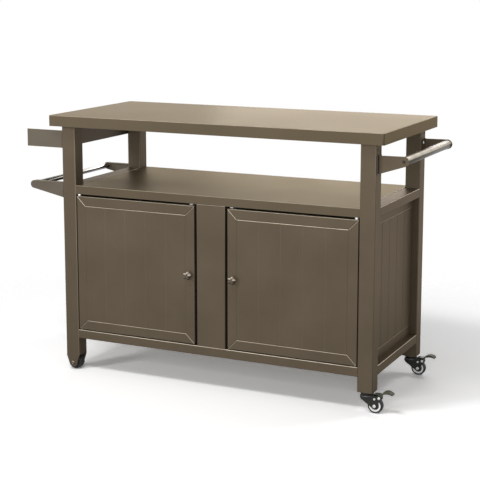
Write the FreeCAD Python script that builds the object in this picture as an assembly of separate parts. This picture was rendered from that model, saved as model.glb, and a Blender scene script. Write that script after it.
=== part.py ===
import FreeCAD, Part
import math
import os
from FreeCAD import Vector

# Grill cart with storage: a folded-steel table top on four square legs, a closed cabinet with two doors
# under an open deck, a tray and a towel rack on the left, and a push handle on the right.
# Left legs end in forks with fixed wheels, right legs stand on swivel casters with brake pedals.
# Millimetres. X runs along the front to the right, Y to the back, Z up from the floor.
# While modelling, X = 0 is the left edge of the top and Y = 0 its front edge; save() moves every piece
# so that the origin is under the middle of the whole cart.

# Overall sizes
top_length = 1207.0
top_depth = 550.0
top_height = 900.0
side_overhang = 34.0
front_overhang = 28.0
deck_height = 659.0
lower_rail_bottom = 117.0

# Sheet work
sheet = 1.5
top_skirt = 37.0
top_lip = 14.0
top_corner = 6.0
edge_radius = 2.0
frame_space = 24.0
deck_apron = 30.0
deck_lip = 24.0
seam_gap = 1.6

# Legs
leg_width = 52.0
leg_depth = 50.0
leg_wall = 2.0
leg_corner = 3.0
leg_plate = 3.0
fork_cut = 54.0
fork_tongue_radius = 15.0
left_wheel_radius = 25.0
left_wheel_width = 30.0
left_axle_diameter = 8.0

# Rails
lower_rail_height = 31.0
lower_rail_width = 25.0
stiffener_width = 30.0
stiffener_front = 150.0

# Cabinet
stile_width = 104.0
stile_depth = 20.0
panel_recess = 24.0
panel_fold = 14.0
panel_planks = 5
panel_border = 34.0
panel_side_border = 14.0
floor_thick = 12.0
groove_width = 4.0
groove_depth = 1.2

# Doors
door_thick = 16.0
door_front_set = 1.0
door_hinge_gap = 3.0
door_free_gap = 9.0
door_top_gap = 7.0
door_bottom_gap = 3.5
door_border = 33.0
door_planks = 5
crease_width = 3.2
crease_depth = 1.1
plank_groove_width = 2.4
plank_groove_depth = 0.5
hinge_pin_diameter = 6.0
hinge_pin_inset = 8.0
hinge_pin_setback = 6.0
hinge_pin_reach = 9.0
bush_wall = 2.0
bush_length = 11.0
knob_diameter = 27.0
knob_length = 20.0
knob_neck = 12.0
knob_lobes = 5
knob_lobe_radius = 4.6
knob_core_diameter = 18.0
knob_inset = 21.0
knob_height = 387.0
catch_length = 22.0
catch_depth = 12.0
catch_height = 16.0
catch_inset = 13.0
catch_nose_width = 11.0
catch_nose_height = 4.6
catch_nose_setback = 5.0

# Left side
tray_reach = 142.0
tray_top = 846.0
tray_height = 60.0
tray_wall_height = 25.0
rack_reach = 133.0
rack_bar_height = 652.0
rack_bar_diameter = 19.0
rack_end_radius = 13.5
rack_root_top = 666.0
rack_root_bottom = 614.0
rack_flange = 18.0
bracket_sheet = 2.5

# Right side
handle_reach = 83.0
handle_diameter = 28.0
handle_height = 811.0
handle_end_radius = 16.0
handle_root_top = 826.0
handle_root_bottom = 767.0
handle_set = 15.0
handle_flange = 28.0
handle_pad_thick = 3.0

# Casters
caster_wheel_radius = 25.0
caster_wheel_width = 20.0
caster_trail = 29.0
caster_race_radius = 22.0
caster_race_height = 6.0
caster_stem_diameter = 10.0
kingpin_button = 2.5
stem_reach = 24.0
fork_crown_radius = 21.0
fork_crown_height = 9.0
fork_sheet = 2.5
fork_room = 2.5
caster_axle_diameter = 6.0
brake_pin_reach = 15.0
brake_pin_diameter = 5.0
brake_gap = 1.5
rivet_diameter = 4.0
pedal_reach = 44.0
pedal_tip_drop = 4.0
pedal_crest_reach = 22.0
pedal_crest_rise = 8.0
pedal_heel_reach = 17.0
pedal_thick = 3.0
pedal_width = 24.0

# Fasteners and clearances
screw_diameter = 5.0
screw_head = 9.0
screw_head_height = 2.5
leg_screw_head = 6.0
bolt_setback = 12.0
running_fit = 0.05
side_clearance = 0.6
swivel_gap = 0.5

# Places worked out from the sizes above
race_bottom = caster_wheel_radius * 2 + fork_room + fork_crown_height + swivel_gap
caster_height = race_bottom + caster_race_height
crown_top = race_bottom - swivel_gap
crown_bottom = crown_top - fork_crown_height
brake_pin_circle = caster_wheel_radius + brake_gap + brake_pin_diameter
brake_pin_z = caster_wheel_radius + math.sqrt(brake_pin_circle ** 2 - brake_pin_reach ** 2)
left_leg_x = side_overhang
right_leg_x = top_length - side_overhang - leg_width
front_leg_y = front_overhang
rear_leg_y = top_depth - front_overhang - leg_depth
inner_left = left_leg_x + leg_width
inner_right = right_leg_x
outer_right = right_leg_x + leg_width
inner_front = front_leg_y + leg_depth
inner_rear = rear_leg_y
rear_face = top_depth - front_overhang
leg_top = top_height - frame_space
lower_rail_top = lower_rail_bottom + lower_rail_height
deck_bottom = deck_height - deck_apron
handle_x = outer_right + handle_reach
rack_x = side_overhang - rack_reach + rack_end_radius
tray_left = side_overhang - tray_reach
caster_x = right_leg_x + leg_width / 2
axle_x = caster_x + caster_trail
brake_pin_x = axle_x + brake_pin_reach
fork_half_gap = caster_wheel_width / 2 + side_clearance * 2
front_wheel_y = front_leg_y + leg_depth / 2
rear_wheel_y = rear_leg_y + leg_depth / 2
middle_x = (tray_left + handle_x + handle_end_radius) / 2
middle_y = top_depth / 2
stile_left = (top_length - stile_width) / 2
door_bottom = lower_rail_top + door_bottom_gap
door_top = deck_bottom - door_top_gap
door_width = (inner_right - inner_left - stile_width) / 2 - door_hinge_gap - door_free_gap
door_face = front_leg_y + door_front_set
door_back = door_face + door_thick
hinge_left_x = inner_left + door_hinge_gap + hinge_pin_inset
hinge_right_x = inner_right - door_hinge_gap - hinge_pin_inset
hinge_y = door_face + hinge_pin_setback

X = Vector(1, 0, 0)
Y = Vector(0, 1, 0)
Z = Vector(0, 0, 1)


def box(x0, y0, z0, x1, y1, z1):
    return Part.makeBox(x1 - x0, y1 - y0, z1 - z0, Vector(x0, y0, z0))


def rod(radius, length, start, axis):
    return Part.makeCylinder(radius, length, start, axis)


def save(name, *solids):
    """Write one sub-part, moved so that the origin is under the middle of the cart."""
    shape = solids[0] if len(solids) == 1 else Part.makeCompound(list(solids))
    shape = shape.translated(Vector(-middle_x, -middle_y, 0))
    shape.exportStep("parts/" + name + ".step")


def edges_along(solid, axis):
    """The edges of a solid that run along an axis."""
    return [e for e in solid.Edges if abs(e.tangentAt(e.FirstParameter).dot(axis)) > 0.99]


def edges_at(solid, z):
    """The edges that lie in the level z."""
    return [e for e in solid.Edges if abs(e.BoundBox.ZMin - z) + abs(e.BoundBox.ZMax - z) < 0.01]


def prism(points, thickness, direction):
    """A flat outline of straight sides, given thickness along a direction."""
    outline = Part.makePolygon(points + [points[0]])
    return Part.Face(outline).extrude(direction * thickness)


def slot_plate(root, end, end_radius, y, thickness):
    """A tapering plate across Y: root holds its two upright corners as (x, low z, high z), end its centre."""
    root_x, root_low, root_high = root
    end_x, end_z = end
    way = 1 if end_x > root_x else -1
    low = Vector(root_x, y, root_low)
    high = Vector(root_x, y, root_high)
    centre = Vector(end_x, y, end_z)
    high_touch = tangent_point(high, centre, end_radius, way)
    low_touch = tangent_point(low, centre, end_radius, -way)
    tip = Vector(end_x + way * end_radius, y, end_z)
    edges = [
        Part.makeLine(low, high),
        Part.makeLine(high, high_touch),
        Part.Arc(high_touch, tip, low_touch).toShape(),
        Part.makeLine(low_touch, low),
    ]
    return Part.Face(Part.Wire(edges)).extrude(Vector(0, thickness, 0))


def tangent_point(point, centre, radius, side):
    """Where a line from a point touches a circle in an XZ plane; side 1 or -1 picks which of the two."""
    to_point = point - centre
    distance = to_point.Length
    base = math.atan2(to_point.z, to_point.x)
    turn = math.acos(radius / distance) * -side
    return centre + Vector(math.cos(base + turn), 0, math.sin(base + turn)) * radius


def mirrored(solid, x):
    """A copy reflected left to right about the plane at x."""
    return solid.mirror(Vector(x, 0, 0), X)


def square_tube(x0, y0, z0, x1, y1, z1, wall, along):
    """A rectangular tube with open ends along one axis and rounded long edges."""
    low = Vector(x0 + wall, y0 + wall, z0 + wall)
    high = Vector(x1 - wall, y1 - wall, z1 - wall)
    reach = Vector(abs(along.x), abs(along.y), abs(along.z)) * (wall * 2)
    low = low - reach
    high = high + reach
    outer = box(x0, y0, z0, x1, y1, z1)
    outer = outer.makeFillet(edge_radius, edges_along(outer, along))
    return outer.cut(box(low.x, low.y, low.z, high.x, high.y, high.z))


def tabletop():
    """A pan turned upside down: flat top, four skirts, and a lip folded inwards under each skirt."""
    low = top_height - top_skirt
    outer = box(0, 0, low, top_length, top_depth, top_height)
    outer = outer.makeFillet(top_corner, edges_along(outer, Z))
    outer = outer.makeFillet(edge_radius, edges_at(outer, top_height))
    hollow = box(sheet, sheet, low + sheet, top_length - sheet, top_depth - sheet, top_height - sheet)
    hollow = hollow.makeFillet(top_corner - sheet, edges_along(hollow, Z))
    mouth = box(top_lip, top_lip, low - sheet, top_length - top_lip, top_depth - top_lip, low + sheet * 2)
    return outer.cut(hollow).cut(mouth)


def top_channel(x):
    """The cross tube at one end, between the leg tops and the underside of the table top."""
    front = top_lip + side_clearance
    return square_tube(x, front, leg_top, x + leg_width, top_depth - front, top_height - sheet, sheet, Y)


def top_stiffener(y):
    return square_tube(
        inner_left, y, leg_top, inner_right, y + stiffener_width, top_height - sheet, sheet, X
    )


def leg_tube(x, y, bottom):
    outer = box(x, y, bottom, x + leg_width, y + leg_depth, leg_top)
    outer = outer.makeFillet(leg_corner, edges_along(outer, Z))
    bore = box(
        x + leg_wall, y + leg_wall, bottom - leg_wall,
        x + leg_width - leg_wall, y + leg_depth - leg_wall, leg_top + leg_wall,
    )
    return outer.cut(bore)


def wheel_leg(x, y):
    """A left leg: below the cut only its front and rear walls go on, as two rounded tongues."""
    centre = Vector(x + leg_width / 2, y, left_wheel_radius)
    left = Vector(x, y, fork_cut)
    right = Vector(x + leg_width, y, fork_cut)
    left_touch = tangent_point(left, centre, fork_tongue_radius, -1)
    right_touch = tangent_point(right, centre, fork_tongue_radius, 1)
    bottom = centre - Z * fork_tongue_radius
    edges = [
        Part.makeLine(right, left),
        Part.makeLine(left, left_touch),
        Part.Arc(left_touch, bottom, right_touch).toShape(),
        Part.makeLine(right_touch, right),
    ]
    tongue = Part.Face(Part.Wire(edges)).extrude(Vector(0, leg_wall, 0))
    solid = leg_tube(x, y, fork_cut).fuse(tongue)
    solid = solid.fuse(tongue.translated(Vector(0, leg_depth - leg_wall, 0)))
    hole = rod(left_axle_diameter / 2, leg_depth + 2, centre - Y, Y)
    return solid.cut(hole).removeSplitter()


def leg_closer(x, y, z):
    """A plate that closes the leg's bore, with a hole in its middle."""
    plate = box(
        x + leg_wall, y + leg_wall, z,
        x + leg_width - leg_wall, y + leg_depth - leg_wall, z + leg_plate,
    )
    middle = Vector(x + leg_width / 2, y + leg_depth / 2, z - 1)
    hole = rod(caster_stem_diameter / 2, leg_plate + 2, middle, Z)
    return plate.cut(hole)


def screw(point, direction, length, head_radius=screw_head / 2, shank_radius=screw_diameter / 2):
    """A pan-head screw whose head sits on point; direction is the way the shank goes."""
    head = rod(head_radius, screw_head_height, point - direction * screw_head_height, direction)
    far = max(head.Edges, key=lambda e: -(e.BoundBox.Center - point).dot(direction))
    head = head.makeFillet(screw_head_height * 0.6, [far])
    return head.fuse(rod(shank_radius, length, point, direction)).removeSplitter()


def upper_side_rail():
    """The right rail beside the deck: a folded channel with a lip under each side, and a seam to the deck."""
    x0 = inner_right + seam_gap
    outer = box(x0, inner_front, deck_bottom, outer_right, inner_rear, deck_height)
    outer = outer.makeFillet(edge_radius, edges_along(outer, Y))
    hollow = box(x0 + sheet, inner_front - 1, deck_bottom + sheet, outer_right - sheet, inner_rear + 1,
                 deck_height - sheet)
    mouth = box(x0 + deck_lip - seam_gap, inner_front - 1, deck_bottom - 1, outer_right - deck_lip,
                inner_rear + 1, deck_bottom + sheet * 2)
    return outer.cut(hollow).cut(mouth)


def deck():
    """The middle shelf: a pan with a front and a rear apron, each with a lip folded under."""
    front = front_leg_y + door_front_set
    rear = rear_face - door_front_set
    outer = box(inner_left, front, deck_bottom, inner_right, rear, deck_height)
    long_edges = [e for e in edges_at(outer, deck_height) if e.BoundBox.XLength > e.BoundBox.YLength]
    outer = outer.makeFillet(edge_radius, long_edges)
    hollow = box(inner_left - 1, front + sheet, deck_bottom + sheet, inner_right + 1, rear - sheet,
                 deck_height - sheet)
    mouth = box(inner_left - 1, front + deck_lip, deck_bottom - 1, inner_right + 1, rear - deck_lip,
                deck_bottom + sheet * 2)
    return outer.cut(hollow).cut(mouth)


def lower_rail(x0, y0, x1, y1, along):
    return square_tube(x0, y0, lower_rail_bottom, x1, y1, lower_rail_top, sheet, along)


def cabinet_floor():
    """A shallow pan laid between the four lower rails, its top just under their tops."""
    top = lower_rail_top - sheet
    x0 = inner_left
    x1 = inner_right
    y0 = front_leg_y + door_front_set + lower_rail_width
    y1 = rear_face - door_front_set - lower_rail_width
    outer = box(x0, y0, top - floor_thick, x1, y1, top)
    return outer.cut(box(x0 + sheet, y0 + sheet, top - floor_thick - 1, x1 - sheet, y1 - sheet, top - sheet))


def v_groove(start, end, width, depth, outward):
    """The cutter for one groove from start to end: a thin wedge, its open side facing outward."""
    run = (end - start).normalize()
    across = run.cross(outward) * (width / 2)
    mouth = outward * (depth / 100)
    points = [start - across + mouth, start + across + mouth, start - outward * depth]
    return prism(points, (end - start).Length, run)


def creased(solid, corners, inset, outward):
    """A sheet with creases round a field and from the field's corners to its own, given as four points."""
    middle = (corners[0] + corners[2]) * 0.5
    field = []
    for corner in corners:
        to_middle = middle - corner
        step = Vector(*[math.copysign(way, length) for way, length in zip(inset, to_middle)])
        field.append(corner + step)
    for count in range(4):
        next_corner = field[(count + 1) % 4]
        solid = solid.cut(v_groove(field[count], next_corner, crease_width, crease_depth, outward))
        start = corners[count] + (field[count] - corners[count]) * (edge_radius / min(v for v in inset if v))
        solid = solid.cut(v_groove(start, field[count], crease_width, crease_depth, outward))
    return solid


def planked(solid, low, high, planks, width, depth, outward):
    """A sheet with upright grooves that part a field into planks; low and high are its opposite corners."""
    pitch = Vector(high.x - low.x, high.y - low.y, 0) / planks
    for count in range(1, planks):
        foot = low + pitch * count
        solid = solid.cut(v_groove(foot, Vector(foot.x, foot.y, high.z), width, depth, outward))
    return solid


def side_panel():
    """The right side panel: a sheet folded back round its edges, with a creased field of planks."""
    face = outer_right - panel_recess
    y0 = inner_front
    y1 = inner_rear
    z0 = lower_rail_top
    z1 = deck_bottom
    panel = box(face - panel_fold, y0, z0, face, y1, z1)
    panel = panel.cut(box(face - panel_fold - 1, y0 + sheet, z0 + sheet, face - groove_depth - sheet,
                          y1 - sheet, z1 - sheet))
    corners = [Vector(face, y0, z0), Vector(face, y1, z0), Vector(face, y1, z1), Vector(face, y0, z1)]
    panel = creased(panel, corners, (0, panel_side_border, panel_border), X)
    low = Vector(face, y0 + panel_side_border, z0 + panel_border)
    high = Vector(face, y1 - panel_side_border, z1 - panel_border)
    return planked(panel, low, high, panel_planks, groove_width, groove_depth, X)


def back_panel():
    """One sheet behind the cabinet, folded forwards round its edges and grooved like the sides."""
    y1 = rear_face - panel_fold / 2
    panel = box(inner_left, y1 - panel_fold, lower_rail_top, inner_right, y1, deck_bottom)
    panel = panel.cut(box(inner_left + sheet, y1 - panel_fold - 1, lower_rail_top + sheet,
                          inner_right - sheet, y1 - groove_depth - sheet, deck_bottom - sheet))
    low = Vector(inner_left, y1, lower_rail_top + panel_border)
    high = Vector(inner_right, y1, deck_bottom - panel_border)
    return planked(panel, low, high, panel_planks * 2, groove_width, groove_depth, Y)


def centre_stile(y, way):
    """A channel that stands between the deck and a lower rail; way is 1 if its open side faces back."""
    x1 = stile_left + stile_width
    y0, y1 = sorted((y, y + way * stile_depth))
    outer = box(stile_left, y0, lower_rail_top, x1, y1, deck_bottom)
    face_edges = [e for e in edges_along(outer, Z) if abs(e.BoundBox.YMin - y) < 0.01]
    outer = outer.makeFillet(edge_radius, face_edges)
    h0, h1 = sorted((y + way * sheet, y + way * (stile_depth + 1)))
    return outer.cut(box(stile_left + sheet, h0, lower_rail_top - 1, x1 - sheet, h1, deck_bottom + 1))


def door_shell():
    """The left door: a folded pan, its face creased round a planked field and along its mitred corners."""
    x0 = inner_left + door_hinge_gap
    x1 = x0 + door_width
    shell = box(x0, door_face, door_bottom, x1, door_back - sheet, door_top)
    face_edges = [e for e in shell.Edges if e.BoundBox.YMax < door_face + 0.01]
    shell = shell.makeFillet(edge_radius, face_edges)
    shell = shell.cut(box(x0 + sheet, door_face + crease_depth + sheet, door_bottom + sheet, x1 - sheet,
                          door_back, door_top - sheet))
    corners = [
        Vector(x0, door_face, door_bottom),
        Vector(x1, door_face, door_bottom),
        Vector(x1, door_face, door_top),
        Vector(x0, door_face, door_top),
    ]
    shell = creased(shell, corners, (door_border, 0, door_border), -Y)
    low = Vector(x0 + door_border, door_face, door_bottom + door_border)
    high = Vector(x1 - door_border, door_face, door_top - door_border)
    shell = planked(shell, low, high, door_planks, plank_groove_width, plank_groove_depth, -Y)
    for z in (door_bottom - 1, door_top - bush_length):
        shell = shell.cut(rod(hinge_pin_diameter / 2 + running_fit + bush_wall, bush_length + 1,
                              Vector(hinge_left_x, hinge_y, z), Z))
    return shell.cut(rod(screw_diameter / 2, door_thick, knob_point() - Y, Y))


def door_liner():
    """The flat sheet that closes the back of the left door."""
    x0 = inner_left + door_hinge_gap
    liner = box(x0, door_back - sheet, door_bottom, x0 + door_width, door_back, door_top)
    return liner.cut(rod(screw_diameter / 2, door_thick, knob_point(), Y))


def knob_point():
    """Where the left door's knob stands on its border."""
    x = inner_left + door_hinge_gap + door_width - knob_inset
    return Vector(x, door_face, knob_height)


def with_pin_holes(solid):
    """A copy of a rail or of the deck with the holes that the door pivots are riveted into."""
    for x in (hinge_left_x, hinge_right_x):
        start = Vector(x, hinge_y, lower_rail_top - sheet)
        reach = deck_bottom - lower_rail_top + sheet * 2
        solid = solid.cut(rod(hinge_pin_diameter / 2, reach, start, Z))
    return solid


def hinge_pin(top):
    """One fixed door pivot with its collar; the top one hangs from the deck, the other stands on the rail."""
    gap = door_top_gap if top else door_bottom_gap
    level = deck_bottom + sheet if top else lower_rail_top - sheet
    way = -1 if top else 1
    start = Vector(hinge_left_x, hinge_y, level)
    pin = rod(hinge_pin_diameter / 2, sheet + gap + hinge_pin_reach, start, Z * way)
    collar_start = start + Z * (way * sheet)
    collar = rod(hinge_pin_diameter, gap - side_clearance, collar_start, Z * way)
    return pin.fuse(collar).removeSplitter()


def hinge_bush(top):
    """The plastic sleeve in the door that turns on a pivot."""
    z = door_top - bush_length if top else door_bottom
    bore_radius = hinge_pin_diameter / 2 + running_fit
    outer = rod(bore_radius + bush_wall, bush_length, Vector(hinge_left_x, hinge_y, z), Z)
    bore = rod(bore_radius, bush_length + 2, Vector(hinge_left_x, hinge_y, z - 1), Z)
    return outer.cut(bore)


def catch_x():
    return inner_left + door_hinge_gap + door_width - catch_inset


def door_catch():
    """The magnetic catch under the deck's lip: a case behind the left door's free corner, a nose above it."""
    y0 = door_back + sheet + side_clearance * 2
    y1 = y0 + catch_depth
    z0 = deck_bottom - catch_height
    body = box(catch_x() - catch_length / 2, y0, z0, catch_x() + catch_length / 2, y1, deck_bottom)
    nose = box(catch_x() - catch_nose_width / 2, door_face + catch_nose_setback,
               deck_bottom - catch_nose_height, catch_x() + catch_nose_width / 2, y0 + sheet, deck_bottom)
    return body.fuse(nose).removeSplitter()


def catch_strike():
    """The steel plate on the door's liner that the catch holds."""
    z0 = deck_bottom - catch_height
    return box(catch_x() - catch_length / 2, door_back, z0 - catch_height / 4,
               catch_x() + catch_length / 2, door_back + sheet, door_top)


def knob():
    """A star knob on a neck, one lobe upright, with a domed face and a blind hole for its screw."""
    base = knob_point()
    head_length = knob_length * 0.6
    neck = rod(knob_neck / 2, knob_length - head_length, base, -Y)
    start = base - Y * (knob_length - head_length)
    head = rod(knob_core_diameter / 2, head_length, start, -Y)
    for count in range(knob_lobes):
        turn = math.pi / 2 + 2 * math.pi * count / knob_lobes
        place = Vector(math.cos(turn), 0, math.sin(turn)) * (knob_diameter / 2 - knob_lobe_radius)
        head = head.fuse(rod(knob_lobe_radius, head_length, start + place, -Y))
    head = head.removeSplitter()
    dome_radius = knob_diameter
    dome = Part.makeSphere(dome_radius, base - Y * (knob_length - dome_radius))
    head = head.common(dome)
    solid = neck.fuse(head).removeSplitter()
    return solid.cut(rod(screw_diameter / 2, knob_length * 0.7, base, -Y))


def knob_screw():
    """The screw from inside the door into the knob."""
    base = knob_point()
    back = Vector(base.x, door_back, base.z)
    return screw(back, -Y, door_back - base.y + knob_length * 0.6)


def spice_tray():
    """The open box on the left legs: high ends and inner side, and a low outer wall."""
    x0 = tray_left
    x1 = side_overhang
    y0 = front_leg_y
    y1 = rear_face
    z0 = tray_top - tray_height
    outer = box(x0, y0, z0, x1, y1, tray_top)
    outer = outer.makeFillet(edge_radius, edges_along(outer, Z))
    inside = box(x0 + sheet, y0 + sheet, z0 + sheet, x1 - sheet, y1 - sheet, tray_top + 1)
    above_wall = box(x0 - 1, y0 + edge_radius, z0 + tray_wall_height, x0 + edge_radius, y1 - edge_radius,
                     tray_top + 1)
    return outer.cut(inside).cut(above_wall)


def tray_bolt_points():
    """On each left leg's outer face, one high and one low."""
    z_high = tray_top - bolt_setback
    z_low = tray_top - tray_height + bolt_setback
    return [Vector(side_overhang, y, z) for y in (front_leg_y + bolt_setback, rear_face - bolt_setback)
            for z in (z_high, z_low)]


def rack_bracket():
    """The front bracket of the towel rack: a tapering plate, a flange on the leg and a lip along its top."""
    y = front_leg_y
    root = (side_overhang, rack_root_bottom, rack_root_top)
    solid = slot_plate(root, (rack_x, rack_bar_height), rack_end_radius, y, rack_flange)
    far_x = rack_x - rack_end_radius * 2
    below = solid.translated(Z * -bracket_sheet).cut(
        box(side_overhang - bracket_sheet, y, 0, side_overhang + 1, y + rack_flange, rack_root_top))
    below = below.cut(box(far_x, y, 0, side_overhang, y + bracket_sheet, top_height))
    open_end = box(far_x, y + bracket_sheet, 0, rack_x, y + rack_flange + 1, top_height)
    return solid.cut(below).cut(open_end)


def rack_bar():
    """The round rail between the two rack brackets."""
    y0 = front_leg_y + bracket_sheet
    y1 = rear_face - bracket_sheet
    return rod(rack_bar_diameter / 2, y1 - y0, Vector(rack_x, y0, rack_bar_height), Y)


def handle_bracket():
    """The front bracket of the push handle: a tapering plate with a flange that lies on the leg."""
    y = front_leg_y + handle_set
    root = (outer_right, handle_root_bottom, handle_root_top)
    plate = slot_plate(root, (handle_x, handle_height), handle_end_radius, y, bracket_sheet)
    flange = box(outer_right, y, handle_root_bottom, outer_right + bracket_sheet, y + handle_flange,
                 handle_root_top)
    return plate.fuse(flange).removeSplitter()


def handle_pad():
    """The dark strip on the leg in front of the front handle bracket."""
    y0 = front_leg_y + leg_corner
    return box(outer_right, y0, handle_root_bottom, outer_right + handle_pad_thick,
               front_leg_y + handle_set, handle_root_top)


def handle_tube():
    """The round tube between the two handle brackets, its ends closed by plugs with a threaded hole."""
    y0 = front_leg_y + handle_set + bracket_sheet
    y1 = rear_face - handle_set - bracket_sheet
    tube = rod(handle_diameter / 2, y1 - y0, Vector(handle_x, y0, handle_height), Y)
    for y, way in ((y0, Y), (y1, -Y)):
        tube = tube.cut(rod(screw_diameter / 2, bolt_setback * 2, Vector(handle_x, y, handle_height), way))
    return tube


def side_screws():
    """Seat, way and length of the screws of the tray, the rack and the handle."""
    reach = leg_wall + 1
    places = [(point - X * sheet, X, sheet + reach) for point in tray_bolt_points()]
    rack_y = front_leg_y + bracket_sheet + (rack_flange - bracket_sheet) / 2
    rack_levels = (rack_root_bottom + bolt_setback, rack_root_top - bolt_setback - bracket_sheet)
    for y in (rack_y, top_depth - rack_y):
        for z in rack_levels:
            places.append((Vector(side_overhang - bracket_sheet, y, z), X, bracket_sheet + reach))
    handle_y = front_leg_y + handle_set + bracket_sheet + (handle_flange - bracket_sheet) / 2
    for y in (handle_y, top_depth - handle_y):
        for z in (handle_root_bottom + bolt_setback, handle_root_top - bolt_setback):
            places.append((Vector(outer_right + bracket_sheet, y, z), -X, bracket_sheet + reach))
    end_y = front_leg_y + handle_set
    places.append((Vector(handle_x, end_y, handle_height), Y, bolt_setback))
    places.append((Vector(handle_x, top_depth - end_y, handle_height), -Y, bolt_setback))
    return places


def leg_screws():
    """Seat, way and length of the screw near the top of each leg."""
    z = tray_top - bolt_setback / 4
    return [(Vector(x, y, z), -X, leg_wall + 1) for x in (inner_left, outer_right)
            for y in (front_leg_y + bolt_setback, rear_face - bolt_setback)]


def drilled(solid):
    """A copy with a hole for each screw that passes through it."""
    for point, way, length in side_screws() + leg_screws():
        solid = solid.cut(rod(screw_diameter / 2, length, point, way))
    return solid


def left_wheel(y):
    """A fixed wheel: a tyre-shaped roller with raised hubs, bored for its axle."""
    x = side_overhang + leg_width / 2
    hub_length = leg_depth - leg_wall * 2 - side_clearance * 2
    centre = Vector(x, y, left_wheel_radius)
    tread = rod(left_wheel_radius, left_wheel_width, centre - Y * (left_wheel_width / 2), Y)
    tread = tread.makeFillet(leg_corner, [e for e in tread.Edges if e.Closed])
    hub = rod(left_axle_diameter, hub_length, centre - Y * (hub_length / 2), Y)
    bore = rod(left_axle_diameter / 2 + running_fit, leg_depth, centre - Y * (leg_depth / 2), Y)
    return tread.fuse(hub).removeSplitter().cut(bore)


def axle_bolt(y):
    """The bolt across a left leg's fork, its head in front and its nut behind."""
    x = side_overhang + leg_width / 2
    front = y - leg_depth / 2
    radius = left_axle_diameter / 2
    shaft = rod(radius, leg_depth, Vector(x, front, left_wheel_radius), Y)
    head = rod(radius * 1.7, radius, Vector(x, front - radius, left_wheel_radius), Y)
    front_rim = min(head.Edges, key=lambda e: e.BoundBox.YMax)
    head = head.makeFillet(radius * 0.6, [front_rim])
    nut = hexagon(radius * 1.6, radius * 1.4, Vector(x, front + leg_depth, left_wheel_radius), Y)
    return shaft.fuse(head).fuse(nut).removeSplitter()


def hexagon(half_width, height, start, axis):
    """A six-sided nut or head, half_width from its middle to a flat."""
    other = X if abs(axis.x) < 0.5 else Z
    third = axis.cross(other)
    corner = half_width / math.cos(math.pi / 6)
    points = []
    for count in range(6):
        turn = math.pi / 3 * count
        points.append(start + other * (corner * math.cos(turn)) + third * (corner * math.sin(turn)))
    return prism(points, height, axis)


def caster_stem(y):
    """The fixed part of a caster: stem, nut inside the leg, upper race and the kingpin under it."""
    race = rod(caster_race_radius, caster_race_height, Vector(caster_x, y, race_bottom), Z)
    race = race.makeFillet(caster_race_height / 3, edges_at(race, race_bottom))
    pin_low = crown_bottom - side_clearance - kingpin_button
    stem_length = caster_height + stem_reach - pin_low
    stem = rod(caster_stem_diameter / 2, stem_length, Vector(caster_x, y, pin_low), Z)
    nut = hexagon(caster_stem_diameter * 0.85, caster_stem_diameter * 0.8,
                  Vector(caster_x, y, caster_height + leg_plate), Z)
    button = rod(caster_stem_diameter * 0.8, kingpin_button, Vector(caster_x, y, pin_low), Z)
    return race.fuse(stem).fuse(nut).fuse(button).removeSplitter()


def fork_outline():
    """Corners of a fork cheek as (x, z): under the crown, round the axle, up to the brake rivet."""
    boss = caster_axle_diameter * 1.5
    pin_boss = brake_pin_diameter * 1.2
    crown_reach = fork_crown_radius * 0.8
    axle = Vector(axle_x, 0, caster_wheel_radius)
    low_left = tangent_point(Vector(caster_x - fork_crown_radius, 0, crown_bottom), axle, boss, -1)
    return [
        (caster_x - crown_reach, crown_top - fork_crown_height / 2),
        (caster_x - crown_reach, crown_bottom),
        (low_left.x, low_left.z),
        (axle_x - boss * 0.4, axle.z - boss * 0.9),
        (axle_x + boss * 0.4, axle.z - boss * 0.9),
        (axle_x + boss, axle.z),
        (brake_pin_x + pin_boss, brake_pin_z - pin_boss * 0.4),
        (brake_pin_x + pin_boss * 0.6, brake_pin_z + pin_boss * 0.7),
        (caster_x + crown_reach, crown_top - fork_crown_height / 4),
    ]


def caster_fork(y):
    """The swivelling part: a crown that turns on the kingpin, and two cheeks down to the axle."""
    crown = rod(fork_crown_radius, fork_crown_height, Vector(caster_x, y, crown_bottom), Z)
    solid = crown.makeFillet(fork_crown_height / 3, edges_at(crown, crown_top))
    for start in (y - fork_half_gap - fork_sheet, y + fork_half_gap):
        solid = solid.fuse(prism([Vector(x, start, z) for x, z in fork_outline()], fork_sheet, Y))
    kingpin_bore = rod(caster_stem_diameter / 2 + running_fit, fork_crown_height + 2,
                       Vector(caster_x, y, crown_bottom - 1), Z)
    solid = solid.cut(kingpin_bore)
    for x, z, diameter in fork_pins():
        solid = solid.cut(rod(diameter / 2, leg_depth, Vector(x, y - leg_depth / 2, z), Y))
    return solid.removeSplitter()


def fork_pins():
    """Place and diameter of the axle, the brake rivet and the cheek rivets."""
    rivet_z = caster_wheel_radius * 2 - rivet_diameter / 2
    return [
        (axle_x, caster_wheel_radius, caster_axle_diameter),
        (brake_pin_x, brake_pin_z, brake_pin_diameter),
        (axle_x, rivet_z, rivet_diameter),
    ]


def caster_wheel(y):
    """A wheel with a rounded tread, a hollow in each face, and a hub bored for its axle."""
    centre = Vector(axle_x, y, caster_wheel_radius)
    start = centre - Y * (caster_wheel_width / 2)
    wheel = rod(caster_wheel_radius, caster_wheel_width, start, Y)
    wheel = wheel.makeFillet(leg_corner, [e for e in wheel.Edges if e.Closed])
    hollow_depth = caster_wheel_width / 6
    ring = rod(caster_wheel_radius * 0.62, hollow_depth, start, Y)
    ring = ring.cut(rod(caster_axle_diameter * 1.3, hollow_depth, start, Y))
    wheel = wheel.cut(ring)
    wheel = wheel.cut(ring.translated(Y * (caster_wheel_width - hollow_depth)))
    bore = rod(caster_axle_diameter / 2 + running_fit, caster_wheel_width + 2, start - Y, Y)
    return wheel.cut(bore)


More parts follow.
